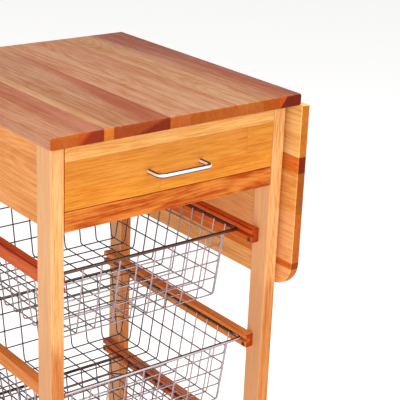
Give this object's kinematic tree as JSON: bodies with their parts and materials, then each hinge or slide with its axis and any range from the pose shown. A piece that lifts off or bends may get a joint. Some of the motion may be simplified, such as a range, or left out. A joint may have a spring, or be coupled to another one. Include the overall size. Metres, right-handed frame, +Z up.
{
  "type": "butcher block table",
  "caption": "Narrow butcher block work table with a shallow drawer, a hinged side leaf on folding stays and chrome wire baskets that slide in grooved wooden runners.",
  "frame": {"origin": "on the floor, in the middle of the table's outline with the leaf hanging and the drawer closed", "axes": "+Z up, -Y towards the drawer front, +X towards the hanging leaf"},
  "size_m": [0.5066, 0.546, 0.914],
  "materials": {
    "top_wood": "satin oiled laminated hardwood",
    "frame_wood": "satin lacquered hardwood",
    "drawer_wood": "satin lacquered hardwood",
    "dark_wood": "satin lacquered reddish hardwood",
    "box_wood": "raw pale wood",
    "chrome": "bright chrome plating",
    "glide_nylon": "matt",
    "zinc_steel": "zinc plated"
  },
  "bodies": {
    "frame": {"tabletop": "top_wood", "leg_front_left": "frame_wood", "leg_front_right": "frame_wood", "leg_back_left": "frame_wood", "leg_back_right": "frame_wood", "glide_front_left": "glide_nylon", "glide_front_right": "glide_nylon", "glide_back_left": "glide_nylon", "glide_back_right": "glide_nylon", "front_rail": "dark_wood", "apron_back": "frame_wood", "apron_left": "frame_wood", "apron_right": "frame_wood", "stretcher_front": "frame_wood", "stretcher_back": "frame_wood", "drawer_guide_left": "box_wood", "drawer_guide_right": "box_wood", "runner_top_left": "dark_wood", "runner_screw_top_left": "zinc_steel", "runner_top_right": "dark_wood", "runner_screw_top_right": "zinc_steel", "runner_middle_left": "dark_wood", "runner_screw_middle_left": "zinc_steel", "runner_middle_right": "dark_wood", "runner_screw_middle_right": "zinc_steel", "runner_bottom_left": "dark_wood", "runner_screw_bottom_left": "zinc_steel", "runner_bottom_right": "dark_wood", "runner_screw_bottom_right": "zinc_steel", "hinge_front_fixed_plate": "zinc_steel", "hinge_front_pin": "zinc_steel", "stay_front_apron_bracket": "zinc_steel", "hinge_back_fixed_plate": "zinc_steel", "hinge_back_pin": "zinc_steel", "stay_back_apron_bracket": "zinc_steel"},
    "leaf": {"drop_leaf": "top_wood", "hinge_front_moving_plate": "zinc_steel", "hinge_back_moving_plate": "zinc_steel", "stay_front_leaf_bracket": "zinc_steel", "stay_back_leaf_bracket": "zinc_steel"},
    "drawer": {"drawer_front": "drawer_wood", "drawer_side_left": "box_wood", "drawer_side_right": "box_wood", "drawer_back": "box_wood", "drawer_bottom": "box_wood", "drawer_handle": "chrome", "handle_screw_left": "zinc_steel", "handle_screw_right": "zinc_steel"},
    "basket_top": {"basket_rim_top": "chrome", "basket_body_top": "chrome"},
    "basket_middle": {"basket_rim_middle": "chrome", "basket_body_middle": "chrome"},
    "basket_bottom": {"basket_rim_bottom": "chrome", "basket_body_bottom": "chrome"},
    "lower_link_front": {"stay_front_lower_link": "zinc_steel"},
    "upper_link_front": {"stay_front_upper_link": "zinc_steel"},
    "lower_link_back": {"stay_back_lower_link": "zinc_steel"},
    "upper_link_back": {"stay_back_upper_link": "zinc_steel"}
  },
  "joints": [
    {"name": "leaf_hinge", "type": "hinge", "parent": "frame", "child": "leaf", "pos_m": [0.2355, 0.005, 0.89325], "axis": [0, -1, 0], "range_deg": [0, 90]},
    {"name": "drawer_slide", "type": "slide", "parent": "frame", "child": "drawer", "axis": [0, -1, 0], "range_m": [0, 0.33]},
    {"name": "basket_top_slide", "type": "slide", "parent": "frame", "child": "basket_top", "axis": [0, -1, 0], "range_m": [-0.02, 0.3]},
    {"name": "basket_middle_slide", "type": "slide", "parent": "frame", "child": "basket_middle", "axis": [0, -1, 0], "range_m": [-0.04, 0.3]},
    {"name": "basket_bottom_slide", "type": "slide", "parent": "frame", "child": "basket_bottom", "axis": [0, -1, 0], "range_m": [-0.04, 0.3]},
    {"name": "lower_link_front_pivot", "type": "hinge", "parent": "frame", "child": "lower_link_front", "pos_m": [0.22075, -0.103, 0.815], "axis": [0, -1, 0], "range_deg": [-23, 1]},
    {"name": "upper_link_front_pivot", "type": "hinge", "parent": "leaf", "child": "upper_link_front", "pos_m": [0.22875, -0.103, 0.74325], "axis": [0, -1, 0], "range_deg": [-1, 8]},
    {"name": "lower_link_back_pivot", "type": "hinge", "parent": "frame", "child": "lower_link_back", "pos_m": [0.22075, 0.107, 0.815], "axis": [0, -1, 0], "range_deg": [-23, 1]},
    {"name": "upper_link_back_pivot", "type": "hinge", "parent": "leaf", "child": "upper_link_back", "pos_m": [0.22875, 0.107, 0.74325], "axis": [0, -1, 0], "range_deg": [-1, 8]}
  ],
  "couplings": [
    {"joint": "lower_link_front_pivot", "follows": "leaf_hinge", "ratio": -0.24481},
    {"joint": "upper_link_front_pivot", "follows": "leaf_hinge", "ratio": 0.07965},
    {"joint": "lower_link_back_pivot", "follows": "leaf_hinge", "ratio": -0.24481},
    {"joint": "upper_link_back_pivot", "follows": "leaf_hinge", "ratio": 0.07965}
  ]
}
